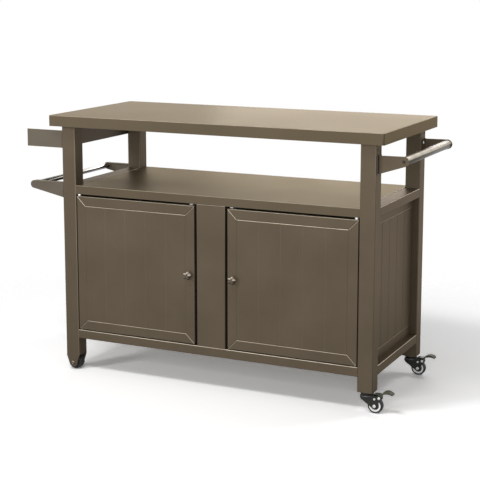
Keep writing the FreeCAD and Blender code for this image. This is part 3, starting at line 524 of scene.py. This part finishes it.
def piece(name, shape, material, body, stands_for, edge=0.0, round_levels=0):
    """A finished piece with smooth faces, and a rounded edge or a subdivision where it has one."""
    mesh = bpy.data.meshes.new(name)
    shape.to_mesh(mesh)
    shape.free()
    mesh.materials.append(material)
    mesh.shade_smooth()
    thing = bpy.data.objects.new(name, mesh)
    bpy.context.scene.collection.objects.link(thing)
    if edge:
        round_edge(thing, edge, PIECE_CORNER, True)
    if round_levels:
        soft = thing.modifiers.new("round", "SUBSURF")
        soft.levels = round_levels
        soft.render_levels = round_levels
    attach(thing, body)
    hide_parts(*stands_for)
    return thing


def hex_socket(shape, top, axis, across, depth):
    """Closes a round mouth in a screw's head as a six-sided socket."""
    mouth = [edge for edge in shape.edges if edge.is_boundary]
    corners = {corner for edge in mouth for corner in edge.verts}
    outward = axis.orthogonal().normalized()
    side = axis.cross(outward)
    sixth = ROUND / 6
    for corner in corners:
        arm = corner.co - top
        turn = math.atan2(arm.dot(side), arm.dot(outward)) % sixth
        reach = across / 2 * MM / math.cos(turn - sixth / 2)
        way = (outward * arm.dot(outward) + side * arm.dot(side)).normalized()
        corner.co = top + way * reach + axis * arm.dot(axis)
    made = bmesh.ops.extrude_edge_only(shape, edges=mouth)["geom"]
    bmesh.ops.translate(shape, verts=made_verts(made), vec=axis * (-depth * MM))
    rim = [item for item in made if isinstance(item, bmesh.types.BMEdge) and item.is_boundary]
    bmesh.ops.holes_fill(shape, edges=rim, sides=0)
    bmesh.ops.recalc_face_normals(shape, faces=shape.faces[:])


def button_screw(seat, way, head_radius, head_height, shank_radius, length):
    """A domed screw with a hexagon socket: its head sits on seat, and its shank goes along way."""
    axis = -way
    across = head_radius * 0.95
    profile = [
        (across / 2, head_height),
        (head_radius * 0.62, head_height * 0.94),
        (head_radius * 0.84, head_height * 0.72),
        (head_radius * 0.96, head_height * 0.42),
        (head_radius, head_height * 0.12),
        (head_radius, 0),
        (shank_radius, 0),
        (shank_radius, -length),
        (0, -length),
    ]
    shape = turned(profile, seat, axis, steps=24)
    hex_socket(shape, seat + axis * (head_height * MM), axis, across, head_height * 0.62)
    return shape


# Seats of the screws, in mm, with the way each shank goes
TRAY_SEATS = [((-549.5, y, z), RIGHT) for y in (-235, 235) for z in (798, 834)]
RACK_SEATS = [((-550.5, y, z), RIGHT) for y in (-236.75, 236.75) for z in (626, 651.5)]
HANDLE_SEATS = [((593.5, y, z), -RIGHT) for y in (-216.75, 216.75) for z in (779, 814)]
END_SEATS = [((674, -232, 811), BACK), ((674, 232, 811), -BACK)]
LEG_SEATS = [((x, y, 843), -RIGHT) for x in (-496, 591) for y in (-235, 235)]

# Head radius, head height, shank radius and length of each set in mm
SHANK = 2.5
SCREW_SETS = (
    ("tray_screws", TRAY_SEATS, (4.5, 2.5, SHANK, 4.5), ZINC, "side_screws"),
    ("rack_screws", RACK_SEATS, (4.5, 2.5, SHANK, 5.5), ZINC, "side_screws"),
    ("handle_screws", HANDLE_SEATS, (4.5, 2.5, SHANK, 5.5), ZINC, "side_screws"),
    ("handle_end_screws", END_SEATS, (5.0, 2.5, SHANK, 12.0), BLACK_STEEL, "side_screws"),
    ("leg_top_screws", LEG_SEATS, (3.0, 2.3, SHANK, 3.0), DARK_ZINC, "leg_screws"),
)
for name, seats, sizes, material, stands_for in SCREW_SETS:
    screws = [button_screw(Vector(seat) * MM, way, *sizes) for seat, way in seats]
    piece(name, joined(screws), material, "frame", [stands_for])


# Wheels: tyre, rim and hub, turned round the bolt that they run on

TYRE = [(19.6, -8.6), (21.0, -9.5), (22.8, -9.4), (24.2, -8.2), (24.85, -6.2), (25.0, -3.5),
        (25.0, 3.5), (24.85, 6.2), (24.2, 8.2), (22.8, 9.4), (21.0, 9.5), (19.6, 8.6)]
RIM = [(13.0, -6.0), (13.4, -7.9), (14.4, -8.9), (16.5, -9.3), (18.8, -9.2), (19.8, -8.4),
       (19.8, 8.4), (18.8, 9.2), (16.5, 9.3), (14.4, 8.9), (13.4, 7.9), (13.0, 6.0)]
HUB = [(3.1, -10.0), (6.2, -10.0), (7.2, -9.4), (7.8, -7.2), (12.4, -6.4), (13.2, -6.6),
       (13.2, 6.6), (12.4, 6.4), (7.8, 7.2), (7.2, 9.4), (6.2, 10.0), (3.1, 10.0)]
WIDE_TYRE = [(17.6, -13.0), (19.0, -14.4), (21.6, -14.7), (23.6, -13.4), (24.7, -10.6), (25.0, -7.0),
             (25.0, -6.2), (23.9, -5.7), (23.9, -4.7), (25.0, -4.2), (25.0, 4.2), (23.9, 4.7),
             (23.9, 5.7), (25.0, 6.2), (25.0, 7.0), (24.7, 10.6), (23.6, 13.4), (21.6, 14.7),
             (19.0, 14.4), (17.6, 13.0)]
WIDE_HUB = [(4.1, -22.2), (7.4, -22.2), (8.0, -21.4), (8.6, -14.0), (15.8, -11.4), (17.8, -12.6),
            (17.8, 12.6), (15.8, 11.4), (8.6, 14.0), (8.0, 21.4), (7.4, 22.2), (4.1, 22.2)]
CASTER_WHEEL = (("tyre", TYRE, TYRE_RUBBER, "wheel_plastic"), ("rim", RIM, RIM_PLASTIC, "pale_nylon"),
                ("hub", HUB, HUB_PLASTIC, "wheel_plastic"))
LEG_WHEEL = (("tyre", WIDE_TYRE, TYRE_RUBBER, "wheel_plastic"),
             ("hub", WIDE_HUB, HUB_PLASTIC, "wheel_plastic"))


def wheel(kind, end, layers, x, y, body, node):
    """The layers of one wheel, each a ring of its own finish."""
    centre = Vector((x, y, WHEEL_MIDDLE)) * MM
    for layer, profile, material, slot in layers:
        piece("_".join((kind, layer, end)), turned(profile, centre, BACK, ring=True), material, body,
              [node])


for end, y in ROWS:
    wheel("caster", end, CASTER_WHEEL, CASTER_WHEEL_X, y, "caster_roller_" + end, "caster_wheel_" + end)


# Axles of the left wheels

AXLE_HEAD = (6.8, 3.6, 4.0, 53.0)
NUT = [(4.0, 50.0), (7.4, 50.0), (7.4, 55.0), (4.0, 55.0)]
LEG_FACE_SETBACK = 25


def leg_axle(y):
    """The bolt across a left leg's fork: domed head in front, nut behind."""
    leg_face = Vector((LEG_WHEEL_X, y - LEG_FACE_SETBACK, WHEEL_MIDDLE)) * MM
    bolt = button_screw(leg_face, BACK, *AXLE_HEAD)
    return joined([bolt, turned(NUT, leg_face, BACK, steps=6, ring=True)])


for end, y in ROWS:
    wheel("leg", end, LEG_WHEEL, LEG_WHEEL_X, y, "fixed_wheel_" + end, "wheel_" + end + "_left")
piece("leg_axles", joined([leg_axle(y) for end, y in ROWS]), AXLE_STEEL, "frame",
      ["axle_bolts"])


# Door knobs: radii and distances from the door in mm; each layer is a distance and its width's share

KNOBS = (("left", -60.5), ("right", 103.5))
KNOB_FACE_Y = -246
KNOB_HEIGHT = 387
KNOB_LOBES = 5
KNOB_TILT = math.radians(12)
KNOB_TIP = 15.6
KNOB_WAIST = 9.0
KNOB_SHOULDER = 13.6
KNOB_BACK = 9.0
KNOB_LAYERS = ((9.6, 1.0), (15.6, 1.0), (18.2, 0.82), (19.4, 0.40))
KNOB_NECK = [(0, 0), (7.4, 0), (7.4, 1.0), (6.2, 2.2), (5.8, 5.0), (6.2, 9.4), (0, 9.4)]


def knob_foot(x):
    return Vector((x, KNOB_FACE_Y, KNOB_HEIGHT)) * MM


def star_knob(x):
    """A knob of five rounded lobes, the upper one tipped a little to the right."""
    foot = knob_foot(x)
    middle = foot - BACK * (KNOB_BACK * MM)
    corner_count = KNOB_LOBES * 4
    shape = bmesh.new()
    face_back = Matrix.Rotation(math.pi / 2, 4, "X")
    made = bmesh.ops.create_circle(shape, cap_ends=True, segments=corner_count, radius=1,
                                   matrix=Matrix.Translation(middle) @ face_back)
    reach = (KNOB_TIP, KNOB_SHOULDER, KNOB_WAIST, KNOB_SHOULDER)
    tilt = Matrix.Rotation(KNOB_TILT, 3, "Y")
    for corner in made["verts"]:
        arm = corner.co - middle
        turn = math.atan2(arm.z, arm.x) - math.pi / 2
        step = round(turn / (ROUND / corner_count)) % 4
        corner.co = middle + tilt @ arm.normalized() * (reach[step] * MM)
    face = shape.faces[:]
    last_depth = KNOB_BACK
    last_scale = 1.0
    for depth, scale in KNOB_LAYERS:
        grown = bmesh.ops.extrude_face_region(shape, geom=face)["geom"]
        corners = made_verts(grown)
        if last_depth > KNOB_BACK:
            bmesh.ops.delete(shape, geom=face, context="FACES_ONLY")
        bmesh.ops.translate(shape, verts=corners, vec=BACK * (-(depth - last_depth) * MM))
        about = Matrix.Translation(-(foot - BACK * (depth * MM)))
        grow = scale / last_scale
        bmesh.ops.scale(shape, verts=corners, vec=Vector((grow, 1, grow)), space=about)
        face = [item for item in grown if isinstance(item, bmesh.types.BMFace)]
        last_depth = depth
        last_scale = scale
    bmesh.ops.recalc_face_normals(shape, faces=shape.faces[:])
    return shape


for side, x in KNOBS:
    body = "door_" + side + "_body"
    node = ["knob_" + side]
    piece("knob_star_" + side, star_knob(x), KNOB_SKIN, body, node, round_levels=2)
    piece("knob_neck_" + side, turned(KNOB_NECK, knob_foot(x), -BACK), KNOB_SKIN, body,
          node, edge=0.4 * MM)


# Door pivots and catches

PIVOTS = (-485, 528)
PIVOT_Y = -240

# Height of the seat, way of the pin, height of its collar and its reach
PIVOT_ROWS = (("upper_door_pivots", ZINC, (630.5, -UP, 6.4, 17.5)),
              ("lower_door_pivots", DARK_ZINC, (146.5, UP, 2.9, 14.0)))

# Blocks of a catch, each between two corners measured from the catch's middle, and its ribs
CATCHES = (-52.5, 95.5)
CATCH_CASE = ((-11, -227.3, 613), (11, -215.3, 629))
CATCH_RIB = ((-0.8, -228.1, 614), (0.8, -227.0, 628))
CATCH_NOSE = ((-5.5, -240.8, 624.4), (5.5, -226.5, 629))
CATCH_LIP = ((-4.2, -239.0, 623.6), (4.2, -229.0, 625.0))
RIBS = (-8, -4, 0, 4, 8)


def pivot(x, seat, way, collar, reach):
    """A pin with a chamfered collar that holds the door off the rail."""
    profile = [(0, 0), (3.0, 0), (3.0, 1.5), (5.4, 1.5), (6.0, 2.1), (6.0, collar + 0.9),
               (5.4, collar + 1.5), (3.0, collar + 1.5), (3.0, reach - 0.8), (2.2, reach), (0, reach)]
    return turned(profile, Vector((x, PIVOT_Y, seat)) * MM, way, steps=24)


def block(x, low, high):
    """A block between two corners in mm, both measured from x."""
    shape = bmesh.new()
    size = Vector(high) - Vector(low)
    middle = (Vector(high) + Vector(low)) / 2 + RIGHT * x
    place = Matrix.Translation(middle * MM) @ Matrix.Diagonal((size * MM).to_4d())
    bmesh.ops.create_cube(shape, size=1, matrix=place)
    return shape


for name, material, settings in PIVOT_ROWS:
    piece(name, joined([pivot(x, *settings) for x in PIVOTS]), material, "frame",
          ["hinge_pins"])
cases = []
noses = []
for x in CATCHES:
    cases.append(block(x, *CATCH_CASE))
    cases += [block(x + rib, *CATCH_RIB) for rib in RIBS]
    noses += [block(x, *CATCH_NOSE), block(x, *CATCH_LIP)]
# near-black catch cases, so that they sink into the door gap's shade and only the noses show
piece("catch_cases", joined(cases), DARK_PLASTIC_AND_PAINTED_SHADE, "frame", ["door_catches"],
      edge=0.4 * MM)
piece("catch_noses", joined(noses), CATCH_NYLON, "frame", ["door_catches"], edge=0.5 * MM)


# Caster forks: a flared crown with its ball ring, and two pressed cheeks

CROWN = [(5.1, 53.0), (16.0, 53.0), (19.6, 53.6), (20.8, 55.4), (20.9, 58.4), (20.0, 59.8), (18.4, 60.2),
         (17.6, 61.2), (14.4, 61.4), (5.1, 61.4)]
RACE = [(20.2, 53.9), (21.3, 54.3), (21.3, 56.1), (20.2, 56.5)]

# A cheek's outline from the swivel's axis: x, z, and the rounding of that corner
CHEEK = ((-19.4, 58.0, 2.0), (-19.4, 45.6, 5.0), (22.5, 17.4, 7.0), (32.0, 16.2, 4.0), (38.0, 21.0, 4.0),
         (38.6, 30.0, 4.0), (50.0, 49.0, 4.5), (47.0, 57.5, 4.0), (18.0, 58.4, 3.0))
CHEEK_NEAR = 11.2
CHEEK_FAR = 13.7
WEB_ENDS = (-15, 18)
WEB_HEIGHTS = (53.2, 56.5)
WEB_INTO_CHEEK = 1


def cheek(y, near, far):
    """One pressed cheek between two distances from the middle of the caster."""
    shape = bmesh.new()
    corners = [shape.verts.new(Vector((CASTER_X + x, y + near, z)) * MM) for x, z, reach in CHEEK]
    shape.faces.new(corners)
    for corner, (x, z, reach) in zip(corners, CHEEK):
        bmesh.ops.bevel(shape, geom=[corner], offset=reach * MM, offset_type="OFFSET", segments=4,
                        profile=0.5, affect="VERTICES", material=-1)
    side = bmesh.ops.extrude_face_region(shape, geom=shape.faces[:])["geom"]
    bmesh.ops.translate(shape, verts=made_verts(side), vec=BACK * ((far - near) * MM))
    bmesh.ops.recalc_face_normals(shape, faces=shape.faces[:])
    return shape


def caster_fork(y):
    crown = turned(CROWN, Vector((CASTER_X, y, 0)) * MM, UP, ring=True)
    half = CHEEK_NEAR + WEB_INTO_CHEEK
    low, high = zip(WEB_ENDS, (y - half, y + half), WEB_HEIGHTS)
    web = block(CASTER_X, low, high)
    return joined([crown, web, cheek(y, -CHEEK_FAR, -CHEEK_NEAR), cheek(y, CHEEK_NEAR, CHEEK_FAR)])


for end, y in ROWS:
    body = "caster_swivel_" + end
    node = ["caster_fork_" + end]
    piece("caster_race_" + end, turned(RACE, Vector((CASTER_X, y, 0)) * MM, UP, ring=True), DARK_ZINC,
          body, node)
    piece("caster_fork_shell_" + end, caster_fork(y), BLACK_STEEL, body, node,
          edge=0.6 * MM)


# Stage, light and camera

FLOOR_WIDTH = 12
FLOOR_PAPER = (0.85, 0.85, 0.85, 1)
FLOOR_SEEN = (1.4, 1.4, 1.4, 1)
FLOOR_GLOW = 0.04
FLOOR_FADE = (0.95, 1.8)
SURROUND = 0.22

# Place, target, width and height, watts
LAMPS = {
    "high_front": ((-0.4, -1.7, 3.3), (0, -0.3, 0.4), (1.8, 0.5), 42),
    "high_right": ((1.9, 1.6, 2.8), (0.6, 0, 0.2), (1.0, 0.8), 16),
    "key": ((-2.6, -3.6, 1.9), (0, 0, 0.5), (0.8, 0.8), 53),
    "wide_front": ((1.0, -4.6, 1.3), (0, 0, 0.5), (3.6, 1.4), 74),
    "back": ((-0.55, 3.4, 1.3), (0.1, 0, 0.8), (2.3, 1.0), 22),
    "back_left": ((-2.3, 3.0, 1.3), (0.1, 0, 0.8), (1.2, 1.0), 4),
}


def stage_floor():
    """A pale floor that fades out into the background; the camera sees it brighter than it is."""
    bpy.ops.mesh.primitive_plane_add(size=FLOOR_WIDTH)
    floor = bpy.context.object
    floor.name = "floor"
    material = bpy.data.materials.new("floor")
    material.use_nodes = True
    tree = material.node_tree
    tree.nodes.clear()
    link = tree.links.new
    out = tree.nodes.new("ShaderNodeOutputMaterial")
    paper = tree.nodes.new("ShaderNodeBsdfDiffuse")
    rays = tree.nodes.new("ShaderNodeLightPath")
    link(colour_mix(tree, rays.outputs["Is Camera Ray"], FLOOR_PAPER, FLOOR_SEEN), paper.inputs["Color"])
    glow = node_in(tree, "ShaderNodeEmission", Strength=FLOOR_GLOW)
    lit = tree.nodes.new("ShaderNodeAddShader")
    link(paper.outputs[0], lit.inputs[0])
    link(glow.outputs[0], lit.inputs[1])
    clear = tree.nodes.new("ShaderNodeBsdfTransparent")
    place = tree.nodes.new("ShaderNodeTexCoord")
    distance = node_in(tree, "ShaderNodeVectorMath", operation="LENGTH")
    link(place.outputs["Object"], distance.inputs[0])
    mix = tree.nodes.new("ShaderNodeMixShader")
    link(span(tree, distance.outputs["Value"], *FLOOR_FADE, smooth=True), mix.inputs["Fac"])
    link(lit.outputs[0], mix.inputs[1])
    link(clear.outputs[0], mix.inputs[2])
    link(mix.outputs[0], out.inputs["Surface"])
    floor.data.materials.append(material)


def world_light(strength):
    """An even pale surround; the camera and reflections see it white."""
    world = bpy.data.worlds.new("studio")
    bpy.context.scene.world = world
    world.use_nodes = True
    tree = world.node_tree
    background = tree.nodes["Background"]
    background.inputs["Color"].default_value = (1, 1, 1, 1)
    rays = tree.nodes.new("ShaderNodeLightPath")
    seen = maths(tree, "MAXIMUM", rays.outputs["Is Camera Ray"], rays.outputs["Is Glossy Ray"])
    through = maths(tree, "MAXIMUM", seen, rays.outputs["Is Transmission Ray"])
    tree.links.new(span(tree, through, bottom=strength), background.inputs["Strength"])


def soft_light(name, place, target, size, power):
    light = bpy.data.lights.new(name, "AREA")
    light.shape = "RECTANGLE"
    light.size = size[0]
    light.size_y = size[1]
    light.energy = power
    lamp = bpy.data.objects.new(name, light)
    bpy.context.scene.collection.objects.link(lamp)
    lamp.location = place
    lamp.visible_camera = False
    way = Vector(target) - Vector(place)
    lamp.rotation_euler = way.to_track_quat("-Z", "Y").to_euler()


def aim_camera():
    eye = bpy.data.cameras.new("camera")
    eye.lens = FOCAL_PIXELS / PICTURE * eye.sensor_width
    eye.shift_y = (PRINCIPAL_Y - PICTURE / 2) / PICTURE
    holder = bpy.data.objects.new("camera", eye)
    bpy.context.scene.collection.objects.link(holder)
    holder.location = CAMERA_PLACE
    holder.rotation_euler = (math.pi / 2 + CAMERA_PITCH, 0, CAMERA_YAW)
    bpy.context.scene.camera = holder


stage_floor()
world_light(SURROUND)
for name, settings in LAMPS.items():
    soft_light(name, *settings)
aim_camera()
bpy.context.scene.view_settings.view_transform = "Standard"
